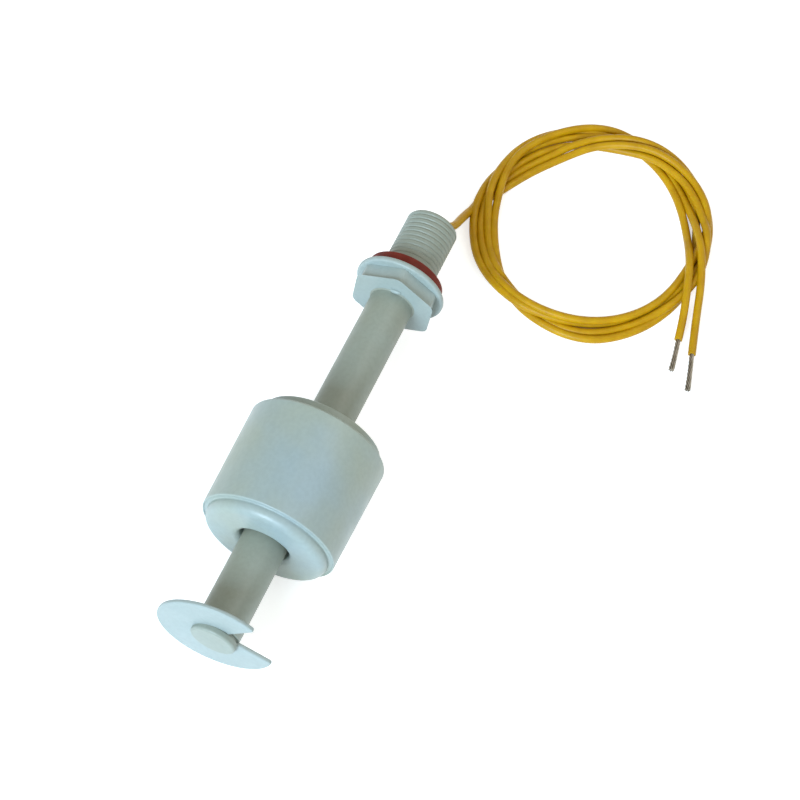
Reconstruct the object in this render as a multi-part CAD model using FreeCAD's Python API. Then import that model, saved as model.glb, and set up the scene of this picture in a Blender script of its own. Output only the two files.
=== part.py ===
import FreeCAD, Part
import math
import os

# Vertical float level switch with a threaded stud, lying on its side.
# Millimetres. +X runs along the stem towards the stud, +Z is up, and the part
# rests at z = 0 on its float and on the coil of its two lead wires. The origin is
# under the middle of the switch, measured without the wires.

V = FreeCAD.Vector

# ---- driving dimensions ----

# Housing: one moulding of threaded stud, flange, hexagon and closed stem tube.
THREAD_R = 4.85           # crest radius of the M10 x 1 thread
THREAD_LENGTH = 12.05     # from the gasket face to the end of the stud
THREAD_CHAMFER = 0.6
STUD_NECK_R = 4.45        # plain neck of the stud inside the gasket
GASKET_THICKNESS = 2.1
GASKET_R = 7.15
FLANGE_THICKNESS = 1.1
FLANGE_R = 8.35
FLANGE_ROUND = 0.35
HEX_HEIGHT = 3.0          # axial length of the hexagon
HEX_FLATS = 13.8          # across the flats
HEX_TURN_DEG = 8.6        # turn of the hexagon about the stem
HEX_CHAMFER = 0.45
STEM_R = 4.0
STEM_LENGTH = 68.55       # from the hexagon to the groove
ROOT_FILLET = 0.4
BORE_R = 2.6
BORE_END_WALL = 1.8       # solid stem between the bore and the groove
GROOVE_R = 3.0
GROOVE_WIDTH = 1.5
TIP_LENGTH = 0.65         # round end beyond the groove
TIP_ROUND = 0.3

# Retaining clip, snapped into the groove and leaning a little in it.
CLIP_R = 10.2
CLIP_THICKNESS = 0.7
CLIP_CLEARANCE = 0.15     # radial, to the bottom of the groove
CLIP_SHIFT = -0.08        # from the middle of the groove
CLIP_LEAN_Y_DEG = 1.9     # about the Y direction
CLIP_LEAN_Z_DEG = 3.6     # about the vertical
CLIP_EDGE_ROUND = 0.2
MOUTH_APEX_YZ = (-0.8, 1.0)   # where the mouth's two edges would meet, from the axis
MOUTH_DIRECTION_DEG = 171.0   # in the YZ plane from +Y
MOUTH_HALF_ANGLE_DEG = 34.0
MOUTH_TIP_ROUND = 0.6

# Float: a hollow shell, closed by a welded cap at its lower end.
FLOAT_R = 12.5            # at the stud end
FLOAT_TAPER = 0.4         # loss of radius along the side wall
FLOAT_SIDE_LENGTH = 19.15
FLOAT_WALL = 1.3
FLOAT_EDGE_ROUND = 0.35
TOP_BOSS = (1.6, 1.8, 0.35)   # raised boss on the stud end: step in from the side, height, edge round
LOW_BOSS = (1.0, 2.25, 1.75)  # raised boss on the lower end
BOSS_MOUTH_ROUND = 0.9
FLOAT_BORE_CLEARANCE = 0.5    # radial, between the bore and the stem
FLOAT_TUBE_WALL = 1.0
FLOAT_TO_HEX = 29.0       # free travel to the hexagon
CAP_LIP_LENGTH = 2.0      # locating lip of the cap, inside the side wall
CAP_LIP_WALL = 0.9

# Ring magnet, loose in the float between two shoulders.
MAGNET_R = 9.0
MAGNET_LENGTH = 6.0
MAGNET_CLEARANCE = 0.3
MAGNET_FROM_SIDE_TOP = 6.7    # from the side wall's stud end to the magnet
SHOULDER_WALL = 1.25

# Reed switch and its leads inside the stem.
REED_R = 1.1
REED_LENGTH = 14.0
REED_CENTRE_FROM_HEX = 18.0
BLADE_R = 0.3
BLADE_LENGTH = 4.0
SOLDER_R = 0.7
SOLDER_LENGTH = 3.0
SLEEVE_WALL = 0.25
POTTING_LENGTH = 5.0
POTTING_RECESS = 0.3
LINK_SIZE = 0.9
ARC_SHARE = 0.45          # of a wire route's shorter run, used by the arc at a corner

# Lead wires, two alike.
WIRE_R = 0.75
CONDUCTOR_R = 0.45
LEAD_A_YZ = (-0.9, -0.1)      # place of each lead in the stem, from its axis
LEAD_B_YZ = (-0.4, -1.7)

# Coil of both wires, lying on the ground.
COIL_CENTRE = (63.6, -24.5)
COIL_OUTER_R = 23.8
COIL_INNER_R = 18.3
COIL_HEIGHT = 4.4

# ---- places worked out from the sizes ----

AXIS_Z = FLOAT_R
BORE_FLOAT_R = STEM_R + FLOAT_BORE_CLEARANCE
OVERALL = (THREAD_LENGTH + GASKET_THICKNESS + FLANGE_THICKNESS + HEX_HEIGHT + STEM_LENGTH
           + GROOVE_WIDTH + TIP_LENGTH)
THREAD_END_X = OVERALL / 2
GASKET_TOP_X = THREAD_END_X - THREAD_LENGTH
SEAL_X = GASKET_TOP_X - GASKET_THICKNESS
FLANGE_X = SEAL_X - FLANGE_THICKNESS
HEX_X = FLANGE_X - HEX_HEIGHT
GROOVE_TOP_X = HEX_X - STEM_LENGTH
GROOVE_LOW_X = GROOVE_TOP_X - GROOVE_WIDTH
TIP_X = GROOVE_LOW_X - TIP_LENGTH
BORE_END_X = GROOVE_TOP_X + BORE_END_WALL
POTTING_X = THREAD_END_X - POTTING_RECESS

FLOAT_TOP_X = HEX_X - FLOAT_TO_HEX
SIDE_TOP_X = FLOAT_TOP_X - TOP_BOSS[1]
SIDE_LOW_X = SIDE_TOP_X - FLOAT_SIDE_LENGTH
FLOAT_LOW_X = SIDE_LOW_X - LOW_BOSS[1]
FLOAT_LOW_R = FLOAT_R - FLOAT_TAPER
FLOAT_TUBE_R = BORE_FLOAT_R + FLOAT_TUBE_WALL
MAGNET_TOP_X = SIDE_TOP_X - MAGNET_FROM_SIDE_TOP
MAGNET_LOW_X = MAGNET_TOP_X - MAGNET_LENGTH
MAGNET_BORE_R = FLOAT_TUBE_R + MAGNET_CLEARANCE

# Hand-picked route points of the wires where they aren't coiled.
ENTRY_A = [(POTTING_X, -0.9, AXIS_Z - 0.1), (46.9, -0.8, 11.3), (49.2, -1.8, 7.4),
           (53.3, -2.1, 5.0), (57.2, -2.0, 2.8)]
ENTRY_B = [(POTTING_X, -0.4, AXIS_Z - 1.7), (46.9, -0.5, 9.6), (49.9, -1.4, 6.1),
           (54.1, -1.7, 3.8), (58.0, -1.5, 1.5)]
TAIL_A = [(54.6, -46.4, 2.5), (50.9, -47.3, 1.7), (47.0, -47.9, 1.0)]
TAIL_B = [(58.9, -47.9, 1.9), (51.9, -49.5, 1.1), (45.2, -51.2, 0.8)]
STRANDS_A = [(47.0, -47.9, 1.0), (43.8, -48.5, 0.8), (40.6, -48.9, 0.7)]
STRANDS_B = [(45.2, -51.2, 0.8), (41.5, -52.2, 0.7), (37.9, -53.0, 0.6)]


# ---- helpers ----

def on_axis(x):
    """The point of the stem's axis at x."""
    return V(x, 0, AXIS_Z)


def rod(x_low, x_high, radius, y=0.0, z=0.0):
    """A cylinder along X between two places, offset from the stem's axis."""
    base = on_axis(x_low) + V(0, y, z)
    return Part.makeCylinder(radius, x_high - x_low, base, V(1, 0, 0))


def profile_wire(steps):
    """A closed profile in the XZ plane: ("to", x, r) or ("via", x, r, x, r) for an arc."""
    points = [V(steps[0][1], 0, AXIS_Z + steps[0][2])]
    edges = []
    for step in steps[1:]:
        if step[0] == "to":
            end = V(step[1], 0, AXIS_Z + step[2])
            edges.append(Part.LineSegment(points[-1], end).toShape())
        else:
            middle = V(step[1], 0, AXIS_Z + step[2])
            end = V(step[3], 0, AXIS_Z + step[4])
            edges.append(Part.Arc(points[-1], middle, end).toShape())
        points.append(end)
    edges.append(Part.LineSegment(points[-1], points[0]).toShape())
    return Part.Wire(edges)


def turned(steps):
    """The solid of revolution of a closed profile about the stem's axis."""
    return Part.Face(profile_wire(steps)).revolve(on_axis(0), V(1, 0, 0), 360)


def edges_where(shape, test):
    """The edges whose middle point passes the test."""
    return [edge for edge in shape.Edges if test(edge.CenterOfMass)]


def rounded_corner(x0, r0, x1, r1, along_first):
    """A quarter-arc step from (x0, r0) to (x1, r1), leaving along the axis or across it."""
    share = math.sqrt(0.5)
    middle_x = x0 + (x1 - x0) * (share if along_first else 1 - share)
    middle_r = r0 + (r1 - r0) * (1 - share if along_first else share)
    return ("via", middle_x, middle_r, x1, r1)


# ---- housing ----

def hexagon_prism():
    """The spanner hexagon, with its corners turned off at the stem side."""
    corner_r = HEX_FLATS / math.sqrt(3)
    corners = []
    for index in range(6):
        angle = math.radians(30 + HEX_TURN_DEG + 60 * index)
        corners.append(on_axis(HEX_X) + V(0, corner_r * math.cos(angle), corner_r * math.sin(angle)))
    prism = Part.Face(Part.makePolygon(corners + corners[:1])).extrude(V(HEX_HEIGHT, 0, 0))
    cone_low = Part.makeCone(corner_r - HEX_CHAMFER, corner_r + HEX_HEIGHT, HEX_HEIGHT + HEX_CHAMFER,
                             on_axis(HEX_X), V(1, 0, 0))
    return prism.common(cone_low)


def stem_housing():
    """Stud, flange, hexagon and stem tube with its clip groove, in one piece."""
    body = turned([
        ("from", HEX_X + HEX_HEIGHT / 2, BORE_R),
        ("to", HEX_X + HEX_HEIGHT / 2, STEM_R + ROOT_FILLET),
        ("to", HEX_X, STEM_R + ROOT_FILLET),
        rounded_corner(HEX_X, STEM_R + ROOT_FILLET, HEX_X - ROOT_FILLET, STEM_R, False),
        ("to", GROOVE_TOP_X, STEM_R),
        ("to", GROOVE_TOP_X, GROOVE_R),
        ("to", GROOVE_LOW_X, GROOVE_R),
        ("to", GROOVE_LOW_X, STEM_R),
        ("to", TIP_X + TIP_ROUND, STEM_R),
        rounded_corner(TIP_X + TIP_ROUND, STEM_R, TIP_X, STEM_R - TIP_ROUND, True),
        ("to", TIP_X, 0),
        ("to", BORE_END_X, 0),
        ("to", BORE_END_X, BORE_R),
    ])
    stud = turned([
        ("from", HEX_X + HEX_HEIGHT / 2, BORE_R),
        ("to", THREAD_END_X, BORE_R),
        ("to", THREAD_END_X, THREAD_R - THREAD_CHAMFER),
        ("to", THREAD_END_X - THREAD_CHAMFER, THREAD_R),
        ("to", GASKET_TOP_X, THREAD_R),
        ("to", GASKET_TOP_X, STUD_NECK_R),
        ("to", SEAL_X, STUD_NECK_R),
        ("to", SEAL_X, FLANGE_R - FLANGE_ROUND),
        rounded_corner(SEAL_X, FLANGE_R - FLANGE_ROUND, SEAL_X - FLANGE_ROUND, FLANGE_R, False),
        ("to", FLANGE_X + FLANGE_ROUND, FLANGE_R),
        rounded_corner(FLANGE_X + FLANGE_ROUND, FLANGE_R, FLANGE_X, FLANGE_R - FLANGE_ROUND, True),
        ("to", FLANGE_X, STEM_R + ROOT_FILLET),
        ("to", HEX_X + HEX_HEIGHT / 2, STEM_R + ROOT_FILLET),
    ])
    bore = rod(BORE_END_X, THREAD_END_X, BORE_R)
    return body.fuse(stud).fuse(hexagon_prism()).cut(bore).removeSplitter()


def sealing_gasket():
    """Flat ring round the stud, against the flange."""
    return rod(SEAL_X, GASKET_TOP_X, GASKET_R).cut(rod(SEAL_X, GASKET_TOP_X, STUD_NECK_R))


def retaining_clip():
    """Thin C-shaped disc with a mouth that widens outwards."""
    middle_x = (GROOVE_TOP_X + GROOVE_LOW_X) / 2 + CLIP_SHIFT
    low_x = middle_x - CLIP_THICKNESS / 2
    high_x = middle_x + CLIP_THICKNESS / 2
    disc = rod(low_x, high_x, CLIP_R).cut(rod(low_x, high_x, GROOVE_R + CLIP_CLEARANCE))
    reach = 2 * CLIP_R
    apex = on_axis(low_x) + V(0, *MOUTH_APEX_YZ)
    corners = [apex]
    for side in (-1, 1):
        angle = math.radians(MOUTH_DIRECTION_DEG + side * MOUTH_HALF_ANGLE_DEG)
        corners.append(apex + V(0, reach * math.cos(angle), reach * math.sin(angle)))
    wedge = Part.Face(Part.makePolygon(corners + corners[:1])).extrude(V(CLIP_THICKNESS, 0, 0))
    clip = disc.cut(wedge)

    def is_outer_tip(point):
        radius = math.hypot(point.y, point.z - AXIS_Z)
        return abs(radius - CLIP_R) < 1e-3 and abs(point.x - middle_x) < 1e-3

    clip = clip.makeFillet(MOUTH_TIP_ROUND, edges_where(clip, is_outer_tip))
    rim = [edge for edge in clip.Edges
           if edge.Curve.TypeId == "Part::GeomCircle" and abs(edge.Curve.Radius - CLIP_R) < 1e-3]
    clip = clip.makeFillet(CLIP_EDGE_ROUND, rim)
    clip.rotate(on_axis(middle_x), V(0, 1, 0), CLIP_LEAN_Y_DEG)
    clip.rotate(on_axis(middle_x), V(0, 0, 1), CLIP_LEAN_Z_DEG)
    return clip


# ---- float ----

def boss_steps(boss, side_x, side_r, outward):
    """Profile of an end boss from the side wall's end to the bore; outward is +1 or -1."""
    step_in, height, edge_round = boss
    boss_r = side_r - step_in
    top_x = side_x + outward * height
    round_x = top_x - outward * edge_round
    mouth_x = top_x - outward * BOSS_MOUTH_ROUND
    mouth_r = BORE_FLOAT_R + BOSS_MOUTH_ROUND
    return [
        ("to", side_x, boss_r),
        ("to", round_x, boss_r),
        rounded_corner(round_x, boss_r, top_x, boss_r - edge_round, True),
        ("to", top_x, mouth_r),
        rounded_corner(top_x, mouth_r, mouth_x, BORE_FLOAT_R, False),
    ]


def float_body():
    """Side wall, stud-end wall, central tube and the magnet's upper shoulder."""
    cap_r = FLOAT_LOW_R - FLOAT_WALL
    inner_top_r = FLOAT_R - FLOAT_WALL
    tube_end_x = SIDE_LOW_X + FLOAT_WALL
    shoulder_x = MAGNET_TOP_X + MAGNET_CLEARANCE
    steps = [("from", SIDE_LOW_X, cap_r),
             ("to", SIDE_LOW_X, FLOAT_LOW_R),
             ("to", SIDE_TOP_X - FLOAT_EDGE_ROUND, FLOAT_R),
             ("to", SIDE_TOP_X, FLOAT_R - FLOAT_EDGE_ROUND)]
    steps += boss_steps(TOP_BOSS, SIDE_TOP_X, FLOAT_R, 1)
    steps += [("to", tube_end_x, BORE_FLOAT_R),
              ("to", tube_end_x, FLOAT_TUBE_R),
              ("to", shoulder_x, FLOAT_TUBE_R),
              ("to", shoulder_x, FLOAT_TUBE_R + SHOULDER_WALL),
              ("to", SIDE_TOP_X, FLOAT_TUBE_R + SHOULDER_WALL),
              ("to", SIDE_TOP_X, inner_top_r)]
    return turned(steps)


def float_cap():
    """Lower end wall with its boss, a locating lip and the magnet's lower shoulder."""
    lip_r = FLOAT_LOW_R - FLOAT_WALL
    tube_end_x = SIDE_LOW_X + FLOAT_WALL
    shoulder_x = MAGNET_LOW_X - MAGNET_CLEARANCE
    steps = [("from", SIDE_LOW_X, lip_r),
             ("to", SIDE_LOW_X, FLOAT_LOW_R),
             ("to", SIDE_LOW_X - FLOAT_EDGE_ROUND, FLOAT_LOW_R - FLOAT_EDGE_ROUND)]
    steps += [("to", SIDE_LOW_X - FLOAT_EDGE_ROUND, FLOAT_LOW_R - LOW_BOSS[0])]
    steps += boss_steps(LOW_BOSS, SIDE_LOW_X, FLOAT_LOW_R, -1)[1:]
    steps += [("to", tube_end_x, BORE_FLOAT_R),
              ("to", tube_end_x, FLOAT_TUBE_R),
              ("to", shoulder_x, FLOAT_TUBE_R),
              ("to", shoulder_x, FLOAT_TUBE_R + SHOULDER_WALL),
              ("to", tube_end_x, FLOAT_TUBE_R + SHOULDER_WALL),
              ("to", SIDE_LOW_X, lip_r - CAP_LIP_WALL),
              ("to", SIDE_LOW_X + CAP_LIP_LENGTH, lip_r - CAP_LIP_WALL),
              ("to", SIDE_LOW_X + CAP_LIP_LENGTH, lip_r)]
    return turned(steps)


def ring_magnet():
    """Ring that runs round the float's central tube."""
    ring = rod(MAGNET_LOW_X, MAGNET_TOP_X, MAGNET_R)
    return ring.cut(rod(MAGNET_LOW_X, MAGNET_TOP_X, MAGNET_BORE_R))


# ---- reed switch inside the stem ----

REED_LOW_X = HEX_X - REED_CENTRE_FROM_HEX - REED_LENGTH / 2
REED_HIGH_X = REED_LOW_X + REED_LENGTH
SOLDER_X = REED_HIGH_X + BLADE_LENGTH
LEAD_A_X = SOLDER_X + SOLDER_LENGTH
LINK_X = REED_LOW_X - BLADE_LENGTH


def reed_parts():
    """Glass, two blades, the solder joints and a sleeve over the upper joint."""
    y, z = LEAD_A_YZ
    reed_z = z + WIRE_R
    solder = rod(SOLDER_X, LEAD_A_X, SOLDER_R, y, reed_z)
    link_height = reed_z - LEAD_B_YZ[1] + LINK_SIZE
    link = Part.makeBox(LINK_SIZE, LINK_SIZE, link_height,
                        on_axis(LINK_X - LINK_SIZE) + V(0, y - LINK_SIZE / 2, LEAD_B_YZ[1] - LINK_SIZE / 2))
    sleeve = rod(SOLDER_X, LEAD_A_X, SOLDER_R + SLEEVE_WALL, y, reed_z).cut(solder)
    return {
        "reed_glass": rod(REED_LOW_X, REED_HIGH_X, REED_R, y, reed_z),
        "reed_blade_upper": rod(REED_HIGH_X, SOLDER_X, BLADE_R, y, reed_z),
        "reed_blade_lower": rod(LINK_X, REED_LOW_X, BLADE_R, y, reed_z),
        "solder_joint_upper": solder,
        "sleeve_upper": sleeve,
        "solder_link_lower": link,
    }


def leads_and_potting():
    """The two leads inside the stem and the resin plug that holds them in the stud."""
    lead_a = rod(LEAD_A_X, POTTING_X, WIRE_R, *LEAD_A_YZ)
    lead_b = rod(LINK_X, POTTING_X, WIRE_R, *LEAD_B_YZ)
    plug = rod(POTTING_X - POTTING_LENGTH, POTTING_X, BORE_R).cut(lead_a).cut(lead_b)
    return {"lead_a_inner": lead_a, "lead_b_inner": lead_b, "potting": plug}


# ---- wires outside the stem ----

def tube(name, points, radius):
    """A round tube of straight runs and tangent arcs through hand-picked points."""
    corners = [V(*point) for point in points]
    edges = []
    start = corners[0]
    radii = []
    for before, corner, after in zip(corners, corners[1:], corners[2:]):
        run_in = corner - before
        run_out = after - corner
        half_turn = run_in.getAngle(run_out) / 2
        arc_r = ARC_SHARE * min(run_in.Length, run_out.Length) / math.tan(half_turn)
        cut_back = arc_r * math.tan(half_turn)
        into = V(run_in).normalize()
        out = V(run_out).normalize()
        arc_start = corner - into * cut_back
        arc_end = corner + out * cut_back
        inward = (out - into).normalize()
        apex = corner + inward * (arc_r / math.cos(half_turn) - arc_r)
        edges.append(Part.LineSegment(start, arc_start).toShape())
        edges.append(Part.Arc(arc_start, apex, arc_end).toShape())
        start = arc_end
        radii.append(round(arc_r, 1))
    edges.append(Part.LineSegment(start, corners[-1]).toShape())
    path = Part.Wire(edges)
    ring = Part.Wire([Part.makeCircle(radius, corners[0], corners[1] - corners[0])])
    solid = path.makePipeShell([ring], True, False)
    volume_ratio = solid.Volume / (math.pi * radius ** 2 * path.Length)
    print(f"{name}: length {path.Length:.1f}, arc radii {radii}, volume ratio {volume_ratio:.4f}")
    return solid


def wire_coil():
    """Outer shape of the coil of both wires."""
    base = V(*COIL_CENTRE, 0)
    ring = Part.makeCylinder(COIL_OUTER_R, COIL_HEIGHT, base)
    return ring.cut(Part.makeCylinder(COIL_INNER_R, COIL_HEIGHT, base))


def wires():
    """Entry and tail of each wire, with its stripped end, and the coil between them."""
    return {
        "wire_a_entry": tube("wire_a_entry", ENTRY_A, WIRE_R),
        "wire_b_entry": tube("wire_b_entry", ENTRY_B, WIRE_R),
        "wire_coil": wire_coil(),
        "wire_a_tail": tube("wire_a_tail", TAIL_A, WIRE_R),
        "wire_b_tail": tube("wire_b_tail", TAIL_B, WIRE_R),
        "wire_a_strands": tube("wire_a_strands", STRANDS_A, CONDUCTOR_R),
        "wire_b_strands": tube("wire_b_strands", STRANDS_B, CONDUCTOR_R),
    }


# ---- export ----

nodes = {
    "stem_housing": stem_housing(),
    "sealing_gasket": sealing_gasket(),
    "retaining_clip": retaining_clip(),
    "float_body": float_body(),
    "float_cap": float_cap(),
    "ring_magnet": ring_magnet(),
}
nodes.update(reed_parts())
nodes.update(leads_and_potting())
nodes.update(wires())

os.makedirs("parts", exist_ok=True)
for name, shape in nodes.items():
    shape.exportStep(f"parts/{name}.step")
    box = shape.BoundBox
    print(f"{name}: solids {len(shape.Solids)}, valid {shape.isValid()}, "
          f"x {box.XMin:.2f}..{box.XMax:.2f}, y {box.YMin:.2f}..{box.YMax:.2f}, "
          f"z {box.ZMin:.2f}..{box.ZMax:.2f}, volume {shape.Volume:.1f}")
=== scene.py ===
import bmesh
import bpy
import math
from mathutils import Matrix, Vector


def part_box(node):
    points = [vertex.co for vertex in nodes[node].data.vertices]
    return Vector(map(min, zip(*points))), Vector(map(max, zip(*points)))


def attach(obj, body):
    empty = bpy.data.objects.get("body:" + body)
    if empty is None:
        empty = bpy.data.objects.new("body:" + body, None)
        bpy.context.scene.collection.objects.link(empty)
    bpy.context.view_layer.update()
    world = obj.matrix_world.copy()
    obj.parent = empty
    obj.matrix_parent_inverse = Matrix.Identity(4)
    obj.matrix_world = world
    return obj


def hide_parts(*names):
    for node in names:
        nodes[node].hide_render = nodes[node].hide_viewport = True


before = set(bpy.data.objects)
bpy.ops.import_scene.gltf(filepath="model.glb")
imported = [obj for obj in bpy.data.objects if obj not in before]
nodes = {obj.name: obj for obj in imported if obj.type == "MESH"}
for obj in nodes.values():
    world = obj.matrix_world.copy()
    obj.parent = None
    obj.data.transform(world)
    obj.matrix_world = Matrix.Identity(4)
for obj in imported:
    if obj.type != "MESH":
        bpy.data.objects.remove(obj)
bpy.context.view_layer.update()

MM = 0.001

# ---- places read from the frame ----

stem_low, stem_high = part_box("stem_housing")
gasket_low, gasket_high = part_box("sealing_gasket")
body_low, body_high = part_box("float_body")
AXIS_Z = (body_low.z + body_high.z) / 2
THREAD_END = stem_high.x
TIP_END = stem_low.x
GASKET_TOP = gasket_high.x
SEAL = gasket_low.x                 # gasket's face on the flange
FLOAT_TOP = body_high.x
FLOAT_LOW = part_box("float_cap")[0].x


# ---- materials ----

class Nodes:
    """Adds nodes and links to the tree of one new material."""

    def __init__(self, name):
        self.material = bpy.data.materials.new(name)
        self.material.use_nodes = True
        self.tree = self.material.node_tree
        self.shader = self.tree.nodes["Principled BSDF"]
        self.place = self.add("ShaderNodeTexCoord").outputs["Object"]

    def add(self, kind, inputs=None, **settings):
        node = self.tree.nodes.new(kind)
        for key, value in settings.items():
            setattr(node, key, value)
        for key, value in (inputs or {}).items():
            self.fill(node.inputs[key], value)
        return node

    def fill(self, socket, value):
        """Links a socket to another, or sets it to a value."""
        if isinstance(value, bpy.types.NodeSocket):
            self.tree.links.new(value, socket)
        else:
            socket.default_value = value

    def surface(self, inputs):
        """Fills the shader's own sockets."""
        for name, value in inputs.items():
            self.fill(self.shader.inputs[name], value)

    def noise(self, scale, detail, roughness=0.5):
        node = self.add("ShaderNodeTexNoise", {
            "Vector": self.place, "Scale": scale, "Detail": detail, "Roughness": roughness})
        return node.outputs["Fac"]

    def ramp(self, factor, stops):
        node = self.add("ShaderNodeValToRGB", {"Fac": factor})
        ramp = node.color_ramp
        while len(ramp.elements) < len(stops):
            ramp.elements.new(0.5)
        for element, (position, colour) in zip(ramp.elements, stops):
            element.position = position
            element.color = colour
        return node.outputs["Color"]

    def spread(self, factor, low, high):
        """Stretches the middle of a noise over a range."""
        node = self.add("ShaderNodeMapRange", {
            "Value": factor, "From Min": 0.3, "From Max": 0.7, "To Min": low, "To Max": high})
        return node.outputs["Result"]

    def mix(self, factor, a, b, blend="MIX"):
        node = self.add("ShaderNodeMix", data_type="RGBA", blend_type=blend)
        for socket, value in ((node.inputs[0], factor), (node.inputs[6], a), (node.inputs[7], b)):
            self.fill(socket, value)
        return node.outputs[2]

    def bump(self, height, strength, distance, normal=None):
        inputs = {"Height": height, "Strength": strength, "Distance": distance}
        if normal is not None:
            inputs["Normal"] = normal
        return self.add("ShaderNodeBump", inputs).outputs["Normal"]


def srgb(red, green, blue):
    """A linear colour from 0 to 255 display values."""
    def linear(value):
        value /= 255
        return value / 12.92 if value <= 0.04045 else ((value + 0.055) / 1.055) ** 2.4
    return (linear(red), linear(green), linear(blue), 1.0)


WHITE = (1, 1, 1, 1)
OFF_WHITE = (0.94, 0.94, 0.94, 1)
BLACK = (0, 0, 0, 1)
SPECK = srgb(96, 104, 100)


def plastic(name, dark, light, roughness=0.42, scatter=0.04, specks=False):
    """A moulded plastic: faint clouding, flow mottling, a fine satin skin and, if asked, dark specks."""
    n = Nodes(name)
    clouds = n.ramp(n.noise(scale=55, detail=3), [(0.34, dark), (0.66, light)])
    mottling = n.ramp(n.noise(scale=1400, detail=2), [(0.35, OFF_WHITE), (0.65, WHITE)])
    colour = n.mix(1.0, clouds, mottling, "MULTIPLY")
    if specks:
        cells = n.add("ShaderNodeTexVoronoi", {"Vector": n.place, "Scale": 420.0})
        dots = n.ramp(cells.outputs["Distance"], [(0.05, WHITE), (0.09, BLACK)])
        chosen = n.ramp(cells.outputs["Color"], [(0.8, BLACK), (0.82, WHITE)])
        colour = n.mix(n.mix(1.0, dots, chosen, "MULTIPLY"), colour, SPECK)
    waves = n.bump(n.noise(scale=240, detail=3), strength=0.12, distance=0.0003)
    n.surface({
        "Base Color": colour,
        "Roughness": n.spread(n.noise(scale=260, detail=4), roughness - 0.05, roughness + 0.08),
        "Normal": n.bump(n.noise(scale=3800, detail=3), strength=0.12, distance=0.00005, normal=waves),
        "Subsurface Weight": scatter,
        "Subsurface Radius": (0.9, 1.0, 0.9),
        "Subsurface Scale": 0.001,
        "IOR": 1.49})
    return n.material


def rubber(name, dark, light):
    """Red silicone with a dull, slightly dusty skin."""
    n = Nodes(name)
    n.surface({
        "Base Color": n.ramp(n.noise(scale=420, detail=5), [(0.3, dark), (0.7, light)]),
        "Roughness": n.spread(n.noise(scale=900, detail=3), low=0.5, high=0.68),
        "Normal": n.bump(n.noise(scale=2400, detail=4), strength=0.25, distance=0.00006),
        "Specular IOR Level": 0.25})
    return n.material


def insulation(name, dark, light):
    """Yellow wire insulation, satin, with faint rub marks."""
    n = Nodes(name)
    n.surface({
        "Base Color": n.ramp(n.noise(scale=300, detail=5, roughness=0.6), [(0.28, dark), (0.72, light)]),
        "Roughness": n.spread(n.noise(scale=700, detail=4), low=0.34, high=0.5),
        "Normal": n.bump(n.noise(scale=1600, detail=3), strength=0.18, distance=0.00005),
        "Specular IOR Level": 0.22,
        "Subsurface Weight": 0.25,
        "Subsurface Radius": (1.0, 0.45, 0.06),
        "Subsurface Scale": 0.0007})
    return n.material


def metal(name, dark, light, roughness):
    """A metal with cloudy tarnish and fine scratches."""
    n = Nodes(name)
    n.surface({
        "Base Color": n.ramp(n.noise(scale=900, detail=4), [(0.3, dark), (0.7, light)]),
        "Roughness": n.spread(n.noise(scale=1800, detail=3), roughness - 0.08, roughness + 0.1),
        "Normal": n.bump(n.noise(scale=2700, detail=3), strength=0.15, distance=0.00004),
        "Metallic": 1.0})
    return n.material


def green_glass(name, dark, light):
    """The reed switch's green glass."""
    n = Nodes(name)
    n.surface({
        "Base Color": n.ramp(n.noise(scale=400, detail=3), [(0.3, dark), (0.7, light)]),
        "Roughness": n.spread(n.noise(scale=800, detail=3), low=0.04, high=0.1),
        "Normal": n.bump(n.noise(scale=500, detail=2), strength=0.05, distance=0.00005),
        "Transmission Weight": 0.8})
    return n.material


# One plastic in four tones. This copy is darkened and made olive as painted shade, for the stem, its tip,
# the stud and the thread.
PP = plastic("polypropylene", srgb(144, 147, 130), srgb(149, 158, 148))
# A paler, bluer copy of the same plastic: painted light of the cool key lamp on the hexagon, flange and
# gate mark. Its dark specks are the plastic's own.
PP_PAINTED_LIGHT_HEX = plastic("polypropylene_painted_light_hexagon", srgb(158, 169, 162), srgb(164, 177, 175), specks=True)
# A paler, bluer copy of the same plastic: painted light of the cool key lamp on the float.
PP_PAINTED_LIGHT_FLOAT = plastic("polypropylene_painted_light_float", srgb(160, 169, 156), srgb(153, 170, 173), roughness=0.37)
# A paler, bluer copy of the same plastic: painted light of the cool key lamp on the clip.
PP_PAINTED_LIGHT_CLIP = plastic("polypropylene_painted_light_clip", srgb(154, 165, 160), srgb(160, 172, 169))
SILICONE = rubber("silicone", srgb(106, 32, 18), srgb(124, 42, 26))
YELLOW = insulation("yellow_insulation", srgb(180, 132, 2), srgb(202, 155, 8))
TINNED = metal("tinned_copper", srgb(122, 114, 98), srgb(156, 147, 132), roughness=0.42)
SOLDER = metal("solder", srgb(150, 150, 150), srgb(190, 190, 190), roughness=0.35)
BLADE = metal("blade_metal", srgb(150, 148, 140), srgb(186, 184, 176), roughness=0.28)
FERRITE = plastic("ferrite", srgb(34, 34, 36), srgb(54, 54, 58), roughness=0.5, scatter=0.0)
SLEEVE = plastic("sleeve", srgb(30, 30, 32), srgb(48, 48, 50), roughness=0.45, scatter=0.0)
RESIN = plastic("potting_resin", srgb(46, 44, 40), srgb(70, 66, 58), roughness=0.3, scatter=0.0)
GLASS = green_glass("reed_glass_green", srgb(150, 190, 160), srgb(175, 210, 185))

for name, material in (
        ("ring_magnet", FERRITE), ("reed_glass", GLASS), ("reed_blade_upper", BLADE),
        ("reed_blade_lower", BLADE), ("solder_joint_upper", SOLDER), ("solder_link_lower", SOLDER),
        ("sleeve_upper", SLEEVE), ("lead_a_inner", YELLOW), ("lead_b_inner", YELLOW),
        ("potting", RESIN)):
    nodes[name].data.materials.clear()
    nodes[name].data.materials.append(material)


# ---- mesh helpers ----

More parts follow.
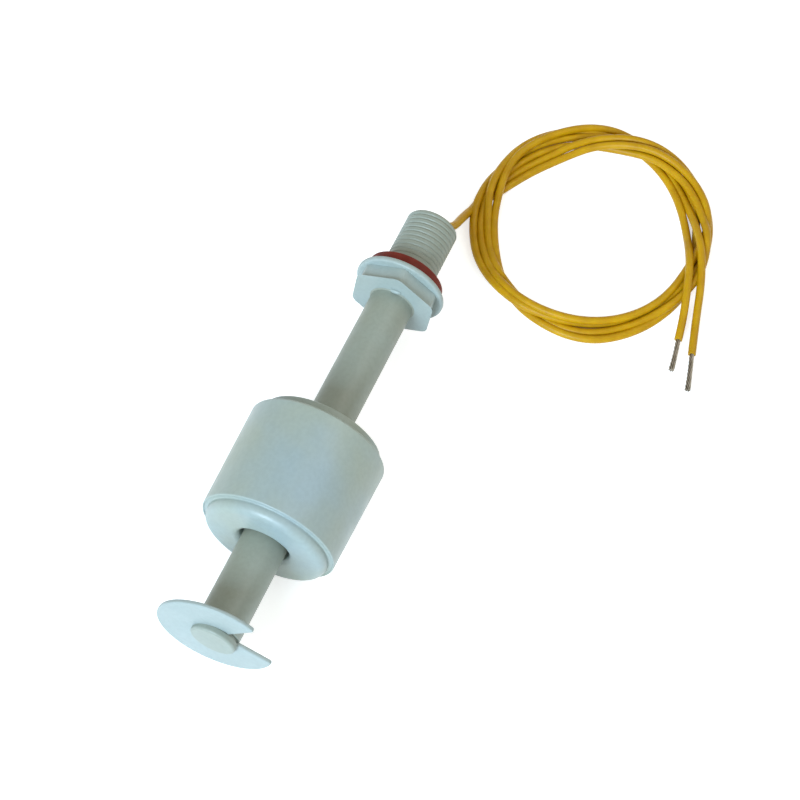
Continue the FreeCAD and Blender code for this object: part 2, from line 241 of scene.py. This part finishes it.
ROUND_STEPS = 6         # faces round each rounded corner of an outline
ROUND_EASE = 0.12       # extra point each side of the corner, as a share of its radius
TURNED_SEGMENTS = 160
AXIS_HOLE = 1e-5        # radius in m that stands for zero on the axis
SAME_PLACE = 1e-7       # m


def rounded(corners):
    """Points of a closed (x, r) outline in metres. A corner with a third number is rounded by it."""
    points = []
    count = len(corners)
    for index, corner in enumerate(corners):
        here = Vector(corner[:2])
        radius = corner[2] if len(corner) > 2 else 0
        if not radius:
            points.append(here)
            continue
        into = (Vector(corners[index - 1][:2]) - here).normalized()
        out = (Vector(corners[(index + 1) % count][:2]) - here).normalized()
        half = into.angle(out) / 2
        centre = here + (into + out).normalized() * (radius / math.sin(half))
        start = here + into * (radius / math.tan(half)) - centre
        end = here + out * (radius / math.tan(half)) - centre
        first = math.atan2(start.y, start.x)
        sweep = (math.atan2(end.y, end.x) - first + math.pi) % (2 * math.pi) - math.pi
        points.append(centre + start + into * radius * ROUND_EASE)
        for step in range(ROUND_STEPS + 1):
            angle = first + sweep * step / ROUND_STEPS
            points.append(centre + Vector((math.cos(angle), math.sin(angle))) * radius)
        points.append(centre + end + out * radius * ROUND_EASE)
    return points


def finished(name, bm, material, body, smooth_deg=38):
    """Turns a bmesh into a piece of the object that rides on a body."""
    bmesh.ops.recalc_face_normals(bm, faces=bm.faces)
    for face in bm.faces:
        face.smooth = True
    for edge in bm.edges:
        edge.smooth = len(edge.link_faces) == 2 and edge.calc_face_angle() < math.radians(smooth_deg)
    mesh = bpy.data.meshes.new(name)
    bm.to_mesh(mesh)
    bm.free()
    mesh.materials.append(material)
    piece = bpy.data.objects.new(name, mesh)
    bpy.context.scene.collection.objects.link(piece)
    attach(piece, body)
    return piece


def about_axis(x, radius, angle):
    """The point at a radius and an angle about the stem's axis."""
    return (x, radius * math.cos(angle), AXIS_Z + radius * math.sin(angle))


def skin(bm, rings, closed):
    """Quads between neighbouring rings."""
    pairs = list(zip(rings, rings[1:]))
    if closed:
        pairs.append((rings[-1], rings[0]))
    for a, b in pairs:
        count = len(a)
        for k in range(count):
            bm.faces.new((a[k], a[(k + 1) % count], b[(k + 1) % count], b[k]))


def turned(name, corners, material, body):
    """A piece turned about the stem's axis from a closed (x, r) outline."""
    bm = bmesh.new()
    rings = [[bm.verts.new(about_axis(point.x, max(point.y, AXIS_HOLE), 2 * math.pi * k / TURNED_SEGMENTS))
              for k in range(TURNED_SEGMENTS)]
             for point in rounded(corners)]
    skin(bm, rings, True)
    return finished(name, bm, material, body)


# ---- camera ----

CAMERA_AZIMUTH = math.radians(-65.99)
CAMERA_ELEVATION = math.radians(60.02)
CAMERA_AIM = Vector((0.01532, -0.00642, 0))
CAMERA_DISTANCE = 0.34113
CAMERA_LENS = 85.36
SENSOR_WIDTH = 36

camera = bpy.data.objects.new("camera", bpy.data.cameras.new("camera"))
bpy.context.scene.collection.objects.link(camera)
camera.data.sensor_width = SENSOR_WIDTH
camera.data.lens = CAMERA_LENS
camera.data.clip_start = 0.01
camera.data.clip_end = 20
back = Vector((math.sin(CAMERA_AZIMUTH) * math.cos(CAMERA_ELEVATION),
               -math.cos(CAMERA_AZIMUTH) * math.cos(CAMERA_ELEVATION),
               math.sin(CAMERA_ELEVATION)))
camera.location = CAMERA_AIM + back * CAMERA_DISTANCE
camera.rotation_mode = "QUATERNION"
camera.rotation_quaternion = (-back).to_track_quat("-Z", "Y")
bpy.context.scene.camera = camera

# ---- wires, in mm ----

WIRE_R = 0.75
WIRE_STEPS = 6          # points along each span of a wire's curve
WIRE_BEVEL_STEPS = 5
COIL_CENTRE = Vector((63.6, -24.5, 0))
LANE_STEP = 12          # degrees between the coil's control points
STRAND_R = 0.15
STRAND_RING_R = 0.3     # of the outer strands' centre lines
STRAND_LAY = 5.0        # length of one turn of the twist
STRAND_LOOSENING = 0.35     # widening of the twist at the cut end
OUTER_STRANDS = 6
STRAND_SIDES = 10
STRAND_STEPS = 12       # points along each span of the strands' line

ENTRY_A = [(44.175, -0.9, 12.4), (46.3, -1.1, 10.9), (49.2, -2.1, 7.3), (53.3, -2.1, 4.9),
           (57.2, -2.2, 2.4)]
ENTRY_B = [(44.175, -0.4, 10.8), (46.5, -0.6, 9.4), (49.9, -1.7, 5.9), (54.1, -1.8, 3.4),
           (58.0, -1.9, 0.8)]
TAIL_A = [(54.6, -46.4, 3.3), (50.9, -47.3, 1.7), (47.0, -47.9, 1.0)]
TAIL_B = [(58.9, -47.9, 2.8), (51.9, -49.5, 1.1), (45.2, -51.2, 0.8)]
STRANDS_A = [(47.0, -47.9, 1.0), (43.8, -48.5, 0.8), (40.6, -48.9, 0.7)]
STRANDS_B = [(45.2, -51.2, 0.8), (41.5, -52.2, 0.7), (37.9, -53.0, 0.6)]

# Where each wire lies in the coil: turn in degrees, distance from the middle, height.
LANES_A = [
    (94, 20.4, 1.0), (80, 18.2, 0.8), (60, 17.0, 0.8), (40, 17.05, 1.0), (28, 17.9, 1.7), (14, 18.7, 2.6),
    (0, 19.35, 3.7), (-12, 20.6, 3.7), (-25, 21.6, 3.1), (-40, 22.2, 2.4), (-60, 22.2, 2.25),
    (-74, 21.2, 2.2), (-86, 20.2, 2.4), (-100, 19.8, 2.3), (-120, 20.5, 2.25), (-140, 21.1, 2.25),
    (-160, 21.4, 2.3), (-180, 21.6, 2.7), (-195, 21.7, 2.8), (-210, 21.7, 2.4), (-225, 21.2, 1.3),
    (-240, 21.0, 0.9), (-255, 20.9, 1.7), (-266, 20.5, 2.7), (-278, 20.3, 2.0), (-290, 20.1, 1.0),
    (-305, 20.1, 0.8), (-330, 20.0, 0.8), (-345, 19.5, 0.9), (-360, 19.35, 1.5), (-372, 19.8, 2.3),
    (-385, 20.1, 2.4), (-400, 20.7, 2.25), (-420, 20.9, 2.25), (-434, 21.6, 3.4), (-446, 22.0, 2.6),
    (-460, 22.4, 2.3), (-480, 22.3, 2.0), (-500, 22.3, 0.9), (-520, 23.1, 0.8), (-532, 22.9, 0.8),
    (-545, 22.0, 0.8), (-560, 20.8, 1.0), (-573, 20.6, 2.0), (-587, 20.0, 1.2), (-600, 19.6, 0.9),
    (-612, 19.6, 1.9), (-620, 19.9, 3.2), (-630, 20.6, 3.6), (-642, 20.9, 3.4), (-652, 21.7, 2.4),
    (-662, 22.8, 1.3), (-675, 23.5, 0.8), (-690, 23.4, 0.8), (-705, 22.6, 0.8), (-720, 21.3, 0.8),
    (-735, 20.0, 0.8), (-750, 18.8, 0.8), (-765, 18.0, 0.8), (-777, 17.7, 0.8), (-790, 17.9, 0.8),
    (-803, 18.5, 2.4), (-814, 19.9, 3.9), (-826, 21.4, 3.7)]
LANES_B = [
    (94, 21.7, 0.8), (80, 19.6, 0.8), (60, 18.5, 0.8), (45, 18.45, 1.0), (32, 19.1, 2.1), (20, 20.0, 2.4),
    (8, 20.7, 3.2), (-6, 21.5, 3.7), (-20, 22.8, 2.5), (-40, 22.8, 1.0), (-60, 22.5, 0.8),
    (-80, 21.8, 0.9), (-96, 21.3, 2.1), (-110, 20.8, 1.4), (-122, 20.6, 0.8), (-140, 20.9, 0.8),
    (-160, 21.3, 0.8), (-175, 21.7, 1.6), (-190, 22.5, 2.25), (-205, 22.7, 2.25), (-220, 22.6, 1.4),
    (-236, 22.5, 0.9), (-250, 22.25, 2.0), (-258, 22.3, 3.5), (-267, 21.8, 2.6), (-280, 21.8, 1.4),
    (-292, 21.6, 0.8), (-310, 21.8, 0.8), (-330, 21.9, 0.8), (-346, 21.7, 1.1), (-358, 21.4, 2.2),
    (-375, 21.2, 2.2), (-390, 21.1, 1.2), (-402, 20.9, 0.8), (-420, 20.1, 0.8), (-434, 19.6, 0.8),
    (-452, 20.6, 0.8), (-470, 22.0, 0.8), (-482, 22.6, 0.8), (-500, 23.7, 0.8), (-520, 24.6, 0.8),
    (-532, 24.0, 0.8), (-545, 22.95, 0.8), (-560, 21.9, 0.8), (-573, 20.4, 0.8), (-586, 19.1, 0.8),
    (-600, 18.4, 0.9), (-612, 18.4, 1.4), (-625, 18.5, 2.4), (-640, 19.5, 3.2), (-658, 21.2, 2.5),
    (-680, 22.4, 2.15), (-694, 23.2, 1.9), (-706, 24.3, 0.9), (-720, 23.1, 0.8), (-735, 21.4, 0.8),
    (-750, 19.9, 0.8), (-772, 19.2, 0.8), (-786, 19.4, 2.3), (-797, 20.1, 3.4), (-806, 21.1, 3.9),
    (-816, 22.6, 3.7)]


def between(keys, turn):
    """Distance and height at a turn, on a smooth line through the keys."""
    index = max(i for i in range(len(keys) - 1) if keys[i][0] >= turn or i == 0)
    a, b = keys[index], keys[index + 1]
    before = keys[max(index - 1, 0)]
    after = keys[min(index + 2, len(keys) - 1)]
    width = b[0] - a[0]
    share = (turn - a[0]) / width
    values = []
    for column in (1, 2):
        slope_a = (b[column] - before[column]) / (b[0] - before[0]) * width
        slope_b = (after[column] - a[column]) / (after[0] - a[0]) * width
        values.append((2 * share ** 3 - 3 * share ** 2 + 1) * a[column]
                      + (share ** 3 - 2 * share ** 2 + share) * slope_a
                      + (3 * share ** 2 - 2 * share ** 3) * b[column]
                      + (share ** 3 - share ** 2) * slope_b)
    return values


def coiled(keys):
    """Control points of the coil's turns, every few degrees."""
    points = []
    turn = keys[0][0]
    while turn >= keys[-1][0]:
        distance, height = between(keys, turn)
        distance /= math.cos(math.radians(LANE_STEP / 2))
        angle = math.radians(turn)
        points.append(COIL_CENTRE + Vector((math.cos(angle), math.sin(angle), 0)) * distance
                      + Vector((0, 0, max(height, WIRE_R))))
        turn -= LANE_STEP
    return points


def route(name, points, radius, steps=WIRE_STEPS):
    """A round, open NURBS curve through control points in millimetres."""
    curve = bpy.data.curves.new(name, "CURVE")
    curve.dimensions = "3D"
    curve.resolution_u = steps
    curve.bevel_depth = radius * MM
    curve.bevel_resolution = WIRE_BEVEL_STEPS
    curve.use_fill_caps = True
    spline = curve.splines.new("NURBS")
    spline.points.add(len(points) - 1)
    for place, point in zip(spline.points, points):
        place.co = (*(Vector(point) * MM), 1)
    spline.order_u = 3
    spline.use_endpoint_u = True
    piece = bpy.data.objects.new(name, curve)
    bpy.context.scene.collection.objects.link(piece)
    return piece


def line_of(points):
    """Points along the NURBS line of a route, in metres."""
    guide = route("guide", points, 0, STRAND_STEPS)
    bpy.context.view_layer.update()
    mesh = bpy.data.meshes.new_from_object(guide)
    line = [vertex.co.copy() for vertex in mesh.vertices]
    bpy.data.meshes.remove(mesh)
    bpy.data.objects.remove(guide)
    return line


def twisted(name, points):
    """The stripped end of a wire: six tinned strands twisted about a seventh."""
    line = line_of(points)
    bm = bmesh.new()
    travelled = 0
    up = Vector((0, 0, 1))
    frames = []
    for index, here in enumerate(line):
        ahead = line[min(index + 1, len(line) - 1)] - line[max(index - 1, 0)]
        forward = ahead.normalized()
        side = forward.cross(up).normalized()
        if index:
            travelled += (here - line[index - 1]).length
        frames.append((here, side, side.cross(forward), travelled))
    for strand in range(OUTER_STRANDS + 1):
        rings = []
        for here, side, rise, along in frames:
            angle = 2 * math.pi * (strand / OUTER_STRANDS + along / (STRAND_LAY * MM))
            loosened = 1 + STRAND_LOOSENING * (along / travelled) ** 3
            offset = 0 if strand == OUTER_STRANDS else STRAND_RING_R * MM * loosened
            centre = here + (side * math.cos(angle) + rise * math.sin(angle)) * offset
            ring = []
            for k in range(STRAND_SIDES):
                turn = 2 * math.pi * k / STRAND_SIDES
                ring.append(bm.verts.new(
                    centre + (side * math.cos(turn) + rise * math.sin(turn)) * STRAND_R * MM))
            rings.append(ring)
        skin(bm, rings, False)
        bm.faces.new(rings[0])
        bm.faces.new(rings[-1])
    return finished(name, bm, TINNED, "stem", 60)


for letter, length, entry, lanes, tail, strands in (
        ("a", 0.37, ENTRY_A, LANES_A, TAIL_A, STRANDS_A),
        ("b", 0.382, ENTRY_B, LANES_B, TAIL_B, STRANDS_B)):
    wire = route("lead_wire_" + letter, entry + coiled(lanes) + tail, WIRE_R)
    wire.data.materials.append(YELLOW)
    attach(wire, "stem")
    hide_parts(f"wire_{letter}_entry", "wire_coil", f"wire_{letter}_tail")
    ends = twisted("lead_strands_" + letter, strands)
    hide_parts(f"wire_{letter}_strands")

# ---- housing ----

HEX_X = 26.225 * MM             # front face of the hexagon
FLANGE_X = 29.225 * MM          # hexagon's side of the flange
HEX_FLATS = 13.5                # in mm; the source has 13.8
HEX_CORNER_R = HEX_FLATS / math.sqrt(3) * MM
HEX_TURN = math.radians(8.6)
HEX_SIDE_ROUND = 0.75 * MM
HEX_RIM_FLARE = 0.6 * MM        # how far the front edge spreads outward
HEX_ROOT = 0.2 * MM             # of the hexagon inside the flange
HEX_BEVEL_STEPS = 6
FLANGE_R = 8.35 * MM
FLANGE_ROUND = 0.45 * MM
STEM_R = 4.0 * MM
STEM_TOP = HEX_X + 1 * MM       # end of the stem tube inside the hexagon
ROOT_X = HEX_X - 0.01 * MM
ROOT_R = STEM_R + 0.3 * MM
ROOT_FILLET = 0.25 * MM
GROOVE_R = 3.6 * MM
GROOVE_TOP = -42.72 * MM
GROOVE_LOW = -43.3 * MM
GROOVE_EDGE_ROUND = 0.08 * MM
TIP_EDGE_ROUND = 0.12 * MM      # at the groove
TIP_ROUND = 0.45 * MM           # at the end
STUD_BORE_R = 2.6 * MM
STUD_CORE_X = GASKET_TOP - 0.8 * MM
STUD_CORE_R = 4.45 * MM
STUD_END_R = 4.32 * MM
STUD_MOUTH_ROUND = 0.12 * MM
STUD_MOUTH_DEPTH = 3 * MM

# The gate mark, in mm: its place as x, y and height over the axis, its half sizes and its shape.
GATE_MARK = (26.15, -0.8, 4.45)
GATE_SIZE = (0.42, 1.1, 0.45)
GATE_WOBBLE = 0.12
GATE_SAG = 0.09

# The thread, in mm.
CREST_R = 4.86
GROOVE_DEPTH = 0.16
GROOVE_SHARE = 0.24         # of the pitch, half the width of the thread's groove
PITCH = 1.0
THREAD_HIDDEN = 0.3         # of the thread inside the gasket
RUN_OUT_SHARE = 0.55        # of the groove's depth, at the gasket
RUN_OUT_LENGTH = 9
CHAMFER_LENGTH = 1.2
CHAMFER_END_R = 4.3
CHAMFER_CURVE = (0.8, 0.3)  # its rounded profile's two terms, under the root
THREAD_SEGMENTS = 120
THREAD_ROWS = 20            # in each turn


def hexagon():
    """The spanner hexagon with softened corners.

    Its front edge spreads outward where it should be rounded inward, which is a fault.
    """
    bm = bmesh.new()
    rings = []
    for x in (HEX_X, FLANGE_X + HEX_ROOT):
        rings.append([bm.verts.new(about_axis(x, HEX_CORNER_R, math.radians(30 + 60 * k) + HEX_TURN))
                      for k in range(6)])
    skin(bm, rings, False)
    for ring in rings:
        bm.faces.new(ring)
    sides = [e for e in bm.edges if abs(e.verts[0].co.x - e.verts[1].co.x) > MM]
    bmesh.ops.bevel(bm, geom=sides, offset=HEX_SIDE_ROUND, segments=HEX_BEVEL_STEPS, affect="EDGES",
                    profile=0.5)
    rim = [e for e in bm.edges if all(abs(v.co.x - HEX_X) < 1e-6 for v in e.verts)]
    bmesh.ops.bevel(bm, geom=rim, offset=HEX_RIM_FLARE, segments=HEX_BEVEL_STEPS, affect="EDGES",
                    profile=0.5)
    return finished("hexagon", bm, PP_PAINTED_LIGHT_HEX, "stem", 30)


def gate_mark():
    """The low, uneven mark that the moulding gate leaves beside the stem's root."""
    bm = bmesh.new()
    bmesh.ops.create_icosphere(bm, subdivisions=4, radius=1)
    x, y, rise = GATE_MARK
    for vertex in bm.verts:
        here = vertex.co
        wobble = 1 + GATE_WOBBLE * math.sin(3 * here.y + 1) * math.cos(2 * here.z)
        across = y + here.y * GATE_SIZE[1] * wobble
        height = rise + here.z * GATE_SIZE[2] * wobble - GATE_SAG * (across - y) ** 2
        vertex.co = ((x + here.x * GATE_SIZE[0]) * MM, across * MM, AXIS_Z + height * MM)
    return finished("gate_mark", bm, PP_PAINTED_LIGHT_HEX, "stem")


def thread_radius(phase, x, start, end):
    """Radius of the thread's skin in mm, at a share of the pitch and a place along the axis."""
    away = abs((phase + 0.5) % 1 - 0.5) / GROOVE_SHARE
    run_out = min(RUN_OUT_SHARE + (x - start) / RUN_OUT_LENGTH, 1)
    groove = GROOVE_DEPTH * run_out * (1 - away * away) ** 2 if away < 1 else 0
    left = end - x
    chamfer = CREST_R
    if left < CHAMFER_LENGTH:
        rise, fall = CHAMFER_CURVE
        chamfer = CHAMFER_END_R + math.sqrt(max(rise * left - fall * left * left, 0))
    return min(CREST_R - groove, chamfer)


def thread():
    """The stud's thread as one helical skin with a rounded end."""
    bm = bmesh.new()
    start = GASKET_TOP / MM - THREAD_HIDDEN
    end = THREAD_END / MM
    turns = int((end - start) / PITCH) + 2
    rings = []
    for row in range(-THREAD_ROWS, turns * THREAD_ROWS + 1):
        ring = []
        for k in range(THREAD_SEGMENTS):
            turn = k / THREAD_SEGMENTS
            x = min(max(start + (row / THREAD_ROWS + turn) * PITCH, start), end)
            radius = thread_radius((x - start) / PITCH - turn, x, start, end)
            ring.append(bm.verts.new(about_axis(x * MM, radius * MM, 2 * math.pi * turn)))
        rings.append(ring)
    for a, b in zip(rings, rings[1:]):
        for k in range(THREAD_SEGMENTS - 1):
            bm.faces.new((a[k], a[k + 1], b[k + 1], b[k]))
    for index in range(len(rings) - 1 - THREAD_ROWS):
        ahead = index + THREAD_ROWS
        bm.faces.new((rings[index][-1], rings[ahead][0], rings[ahead + 1][0], rings[index + 1][-1]))
    bmesh.ops.remove_doubles(bm, verts=bm.verts, dist=SAME_PLACE)
    bmesh.ops.dissolve_degenerate(bm, edges=bm.edges, dist=SAME_PLACE)
    return finished("thread", bm, PP, "stem", 50)


housing = turned("stem_tube", [
    (STEM_TOP, 0), (STEM_TOP, ROOT_R), (ROOT_X, ROOT_R), (ROOT_X, STEM_R, ROOT_FILLET),
    (GROOVE_TOP, STEM_R, GROOVE_EDGE_ROUND), (GROOVE_TOP, GROOVE_R), (GROOVE_LOW, GROOVE_R),
    (GROOVE_LOW, 0)], PP, "stem")
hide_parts("stem_housing")
tip = turned("stem_tip", [
    (GROOVE_LOW, 0), (GROOVE_LOW, STEM_R, TIP_EDGE_ROUND), (TIP_END, STEM_R, TIP_ROUND),
    (TIP_END, 0)], PP, "stem")
flange = turned("flange", [
    (FLANGE_X, 0), (FLANGE_X, FLANGE_R, FLANGE_ROUND), (SEAL, FLANGE_R, FLANGE_ROUND),
    (SEAL, 0)], PP_PAINTED_LIGHT_HEX, "stem")
stud_core = turned("stud_core", [
    (STUD_CORE_X, STUD_BORE_R), (STUD_CORE_X, STUD_CORE_R), (THREAD_END, STUD_END_R),
    (THREAD_END, STUD_BORE_R, STUD_MOUTH_ROUND), (THREAD_END - STUD_MOUTH_DEPTH, STUD_BORE_R)],
    PP, "stem")
for piece in (housing, tip, flange, stud_core, hexagon(), gate_mark(), thread()):
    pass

# ---- gasket ----

GASKET_R = 7.15 * MM
GASKET_BORE_R = 4.5 * MM
GASKET_ROUNDS = (0.25 * MM, 0.3 * MM)       # on the flange's side and on the stud's

gasket = turned("gasket", [
    (SEAL, GASKET_BORE_R), (SEAL, GASKET_R, GASKET_ROUNDS[0]), (GASKET_TOP, GASKET_R, GASKET_ROUNDS[1]),
    (GASKET_TOP, GASKET_BORE_R)], SILICONE, "stem")
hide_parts("sealing_gasket")

# ---- float ----

FLOAT_R = 12.5 * MM
FLOAT_LOW_R = 12.1 * MM
FLOAT_EDGE_ROUND = 0.4 * MM
BORE_R = 4.5 * MM
TOP_BOSS_R = 10.9 * MM
TOP_BOSS_FILLET = 0.15 * MM
TOP_BOSS_ROUND = 0.35 * MM
TOP_MOUTH_ROUND = 0.9 * MM
SIDE_TOP = FLOAT_TOP - 1.8 * MM     # upper end of the side wall
LOW_BOSS_R = 11.1 * MM
LOW_BOSS_FILLET = 0.28 * MM
LOW_BOSS_ROUND = 1.5 * MM
LOW_MOUTH_ROUND = 1.1 * MM
RIM_X = FLOAT_LOW + 1.9 * MM        # lower end of the side wall
RIM_ROUND = 0.26 * MM
BEAD_R = 11.75 * MM                 # inner side of the welded rim's bead
BEAD_ROUND = 0.08 * MM
RECESS = 0.1 * MM                   # of the cap's face inside the bead
JOINT_X = RIM_X + 0.5 * MM          # where shell and cap meet inside the rim

float_shell = turned("float_shell", [
    (JOINT_X, BORE_R), (JOINT_X, BEAD_R), (RIM_X, BEAD_R, BEAD_ROUND), (RIM_X, FLOAT_LOW_R, RIM_ROUND),
    (SIDE_TOP, FLOAT_R, FLOAT_EDGE_ROUND), (SIDE_TOP, TOP_BOSS_R, TOP_BOSS_FILLET),
    (FLOAT_TOP, TOP_BOSS_R, TOP_BOSS_ROUND), (FLOAT_TOP, BORE_R, TOP_MOUTH_ROUND)], PP_PAINTED_LIGHT_FLOAT, "float")
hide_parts("float_body")
float_end = turned("float_end", [
    (JOINT_X, BORE_R), (JOINT_X, BEAD_R), (RIM_X + RECESS, BEAD_R),
    (RIM_X + RECESS, LOW_BOSS_R, LOW_BOSS_FILLET), (FLOAT_LOW, LOW_BOSS_R, LOW_BOSS_ROUND),
    (FLOAT_LOW, BORE_R, LOW_MOUTH_ROUND)], PP_PAINTED_LIGHT_FLOAT, "float")
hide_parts("float_cap")

# ---- clip, in mm and degrees ----

CLIP_R = 10.2
CLIP_HOLE_R = 3.15
CLIP_THICKNESS = 0.7
CLIP_EDGE_ROUND = 0.22
CLIP_EDGE_STEPS = 5
CLIP_SHARP = 1.2            # radians; a sharper edge is rounded
CLIP_STEPS = 100            # along each of its two arcs
CLIP_X = -43.155 * MM
CLIP_LEAN = Matrix.Rotation(math.radians(3.6), 3, "Z") @ Matrix.Rotation(math.radians(1.9), 3, "Y")
MOUTH_APEX = Vector((-0.8, 1.0))    # where the mouth's two edges would meet, from the axis
MOUTH_DIRECTION = 171
MOUTH_HALF = 34
MOUTH_TIP_ROUND = 0.6
MOUTH_TIP_SPARE = 6         # of the arc, left to each rounded tip
HOLE_TIP_ROUND = 0.3
HOLE_TIP_SPARE = 9


def mouth_corner(turn, radius):
    """Where one edge of the mouth meets a circle about the stem's axis."""
    along = Vector((math.cos(math.radians(turn)), math.sin(math.radians(turn))))
    nearest = MOUTH_APEX.dot(along)
    reach = math.sqrt(nearest ** 2 - MOUTH_APEX.length_squared + radius ** 2) - nearest
    return MOUTH_APEX + along * reach


def clip():
    """C-shaped disc with rounded edges, leaning a little in the groove."""
    first = MOUTH_DIRECTION + MOUTH_HALF
    last = MOUTH_DIRECTION - MOUTH_HALF
    corners = []
    for radius, turns, tip_round, spare in (
            (CLIP_R, (first, last), MOUTH_TIP_ROUND, MOUTH_TIP_SPARE),
            (CLIP_HOLE_R, (last, first), HOLE_TIP_ROUND, HOLE_TIP_SPARE)):
        ends = [mouth_corner(turn, radius) for turn in turns]
        low, high = [math.degrees(math.atan2(end.y, end.x)) % 360 for end in ends]
        if radius == CLIP_R:
            high += 360
            low += spare
            high -= spare
        else:
            low += 360 - spare
            high += spare
        corners.append((*ends[0], tip_round))
        for k in range(CLIP_STEPS + 1):
            angle = math.radians(low + (high - low) * k / CLIP_STEPS)
            corners.append((radius * math.cos(angle), radius * math.sin(angle)))
        corners.append((*ends[1], tip_round))
    outline = rounded(corners)
    bm = bmesh.new()
    half = CLIP_THICKNESS / 2
    sides = [[bm.verts.new((x, point.x, point.y)) for point in outline] for x in (-half, half)]
    skin(bm, sides, False)
    for side in sides:
        bm.faces.new(side)
    bmesh.ops.recalc_face_normals(bm, faces=bm.faces)
    rim = [e for e in bm.edges if len(e.link_faces) == 2 and e.calc_face_angle() > CLIP_SHARP]
    bmesh.ops.bevel(bm, geom=rim, offset=CLIP_EDGE_ROUND, segments=CLIP_EDGE_STEPS, affect="EDGES",
                    profile=0.5)
    for vertex in bm.verts:
        vertex.co = Vector((CLIP_X, 0, AXIS_Z)) + CLIP_LEAN @ vertex.co * MM
    return finished("clip", bm, PP_PAINTED_LIGHT_CLIP, "stem", 30)


retainer = clip()
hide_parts("retaining_clip")

# ---- stage and light ----

AMBIENT = (0.97, 1.0, 0.95, 1)
AMBIENT_STRENGTH = 0.5
FLOOR_GREY = (0.86, 0.86, 0.86, 1)
FLOOR_GLOW = 0.6            # that only camera, glossy and transmission rays see
FLOOR_HALF = 1.5
FLOOR_CELLS = 8
FLOOR_DROP = 0.00002        # keeps the floor clear of what lies on it

scene = bpy.context.scene
scene.view_settings.view_transform = "Standard"


def seen_factor(tree):
    """1 for camera, glossy and transmission rays, else 0."""
    path = tree.nodes.new("ShaderNodeLightPath")
    total = path.outputs["Is Camera Ray"]
    for name in ("Is Glossy Ray", "Is Transmission Ray"):
        larger = tree.nodes.new("ShaderNodeMath")
        larger.operation = "MAXIMUM"
        tree.links.new(total, larger.inputs[0])
        tree.links.new(path.outputs[name], larger.inputs[1])
        total = larger.outputs[0]
    return total


def white_world():
    """Soft light all round, and a white background."""
    world = bpy.data.worlds.new("studio")
    scene.world = world
    world.use_nodes = True
    tree = world.node_tree
    tree.nodes.clear()
    mix = tree.nodes.new("ShaderNodeMixShader")
    tree.links.new(seen_factor(tree), mix.inputs[0])
    for index, (colour, strength) in enumerate(((AMBIENT, AMBIENT_STRENGTH), (WHITE, 1.0)), 1):
        background = tree.nodes.new("ShaderNodeBackground")
        background.inputs["Color"].default_value = colour
        background.inputs["Strength"].default_value = strength
        tree.links.new(background.outputs[0], mix.inputs[index])
    output = tree.nodes.new("ShaderNodeOutputWorld")
    tree.links.new(mix.outputs[0], output.inputs[0])


def floor():
    """A floor that looks white and keeps the object's shadow."""
    bm = bmesh.new()
    bmesh.ops.create_grid(bm, x_segments=FLOOR_CELLS, y_segments=FLOOR_CELLS, size=FLOOR_HALF)
    mesh = bpy.data.meshes.new("floor")
    bm.to_mesh(mesh)
    bm.free()
    ground = bpy.data.objects.new("floor", mesh)
    scene.collection.objects.link(ground)
    ground.location = (0, 0, -FLOOR_DROP)
    material = bpy.data.materials.new("white_floor")
    material.use_nodes = True
    tree = material.node_tree
    shader = tree.nodes["Principled BSDF"]
    shader.inputs["Base Color"].default_value = FLOOR_GREY
    shader.inputs["Roughness"].default_value = 1.0
    shader.inputs["Specular IOR Level"].default_value = 0.0
    glow = tree.nodes.new("ShaderNodeMath")
    glow.operation = "MULTIPLY"
    tree.links.new(seen_factor(tree), glow.inputs[0])
    glow.inputs[1].default_value = FLOOR_GLOW
    shader.inputs["Emission Color"].default_value = WHITE
    tree.links.new(glow.outputs[0], shader.inputs["Emission Strength"])
    mesh.materials.append(material)


def lamp(name, place, target, size, power, colour):
    """A round area lamp that faces its target."""
    data = bpy.data.lights.new(name, "AREA")
    data.shape = "DISK"
    data.size = size
    data.energy = power
    data.color = colour
    light = bpy.data.objects.new(name, data)
    scene.collection.objects.link(light)
    light.location = place
    light.rotation_mode = "QUATERNION"
    light.rotation_quaternion = (Vector(place) - Vector(target)).to_track_quat("Z", "Y")


white_world()
floor()
lamp("key", place=(-0.82, 0.1, 0.5), target=(0, 0, 0.01), size=0.5, power=12, colour=(0.62, 0.81, 1.0))
lamp("fill", place=(0.35, -0.5, 0.8), target=(0.02, -0.01, 0.01), size=0.8, power=2,
     colour=(1.0, 0.97, 0.9))
